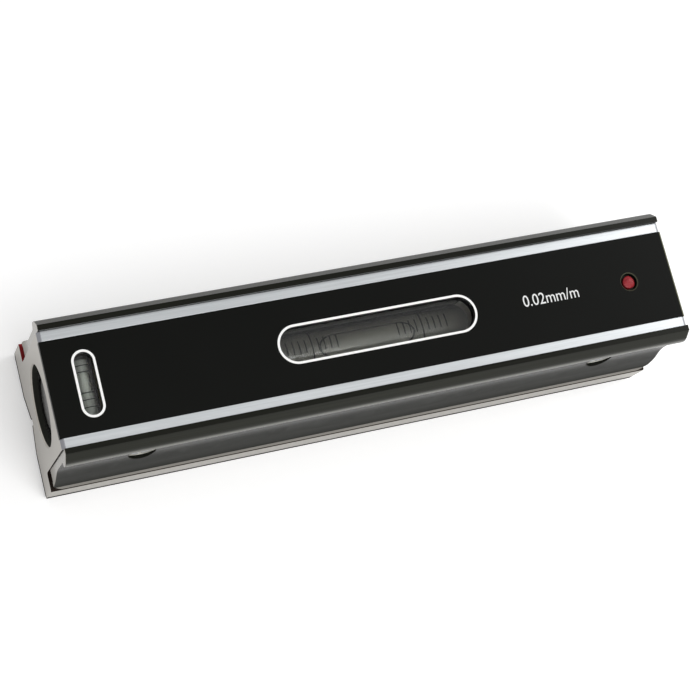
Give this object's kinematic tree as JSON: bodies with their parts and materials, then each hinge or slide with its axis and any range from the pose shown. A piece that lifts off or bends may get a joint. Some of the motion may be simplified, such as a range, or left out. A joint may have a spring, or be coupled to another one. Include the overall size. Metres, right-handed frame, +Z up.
{
  "type": "precision bar level",
  "caption": "Cast-iron bar level with flat and vee base, windowed main vial in a tilting carrier, cross vial and a screw adjuster.",
  "frame": {"origin": "centre of the base, on the plane of its two flats", "axes": "+X along the bar, away from the cross vial; +Y to the back; +Z up"},
  "size_m": [0.2, 0.046, 0.049],
  "materials": {
    "scraped_cast_iron": "ground and scraped",
    "black_enamelled_plate": "satin black enamel",
    "white_rim": "gloss white",
    "clear_pane": "clear",
    "black_anodised_rail": "black anodised, ends and lower edge bare",
    "plated_steel": "zinc plated",
    "black_plug": "gloss black",
    "brass": "milled",
    "vial_glass": "clear",
    "blackened_steel": "black oxide",
    "blackened_tube": "black oxide",
    "plaster": "matte plaster",
    "bubble_vapour": "clear",
    "red_lacquered_screw": "red lacquered head"
  },
  "bodies": {
    "level": {"level_body": "scraped_cast_iron", "top_plate": "black_enamelled_plate", "main_window_bezel": "white_rim", "main_window_pane": "clear_pane", "cross_window_bezel": "white_rim", "cross_window_pane": "clear_pane", "front_grip": "black_anodised_rail", "rear_grip": "black_anodised_rail", "front_grip_screws": "plated_steel", "rear_grip_screws": "plated_steel", "left_end_plug": "black_plug", "right_end_plug": "black_plug", "pivot_pin": "plated_steel", "cross_vial_holder": "brass", "cross_holder_screws": "plated_steel", "cross_vial": "vial_glass", "adjuster_bush": "blackened_steel", "lift_spring": "plated_steel", "side_set_screws": "blackened_steel"},
    "vial_carrier": {"carrier_tube": "blackened_tube", "pivot_block": "plated_steel", "adjuster_block": "plated_steel", "main_vial": "vial_glass", "main_vial_cement": "plaster"},
    "adjuster": {"adjusting_screw": "red_lacquered_screw"},
    "main_bubble_float": {"main_bubble": "bubble_vapour"},
    "cross_bubble_float": {"cross_bubble": "bubble_vapour"}
  },
  "joints": [
    {"name": "adjuster_turn", "type": "hinge", "parent": "level", "child": "adjuster", "pos_m": [0.0847, 0, 0.04], "axis": [0, 0, 1], "range_deg": [-180, 180]},
    {"name": "carrier_tilt", "type": "hinge", "parent": "level", "child": "vial_carrier", "pos_m": [-0.058, 0, 0.028], "axis": [0, -1, 0], "range_deg": [-0.1003, 0.1003]},
    {"name": "main_bubble_run", "type": "slide", "parent": "vial_carrier", "child": "main_bubble_float", "axis": [1, 0, 0], "range_m": [-0.025, 0.025]},
    {"name": "cross_bubble_run", "type": "slide", "parent": "level", "child": "cross_bubble_float", "axis": [0, 1, 0], "range_m": [-0.0065, 0.0035]}
  ],
  "couplings": [
    {"joint": "adjuster_turn", "follows": "carrier_tilt", "ratio": 1793.2}
  ]
}
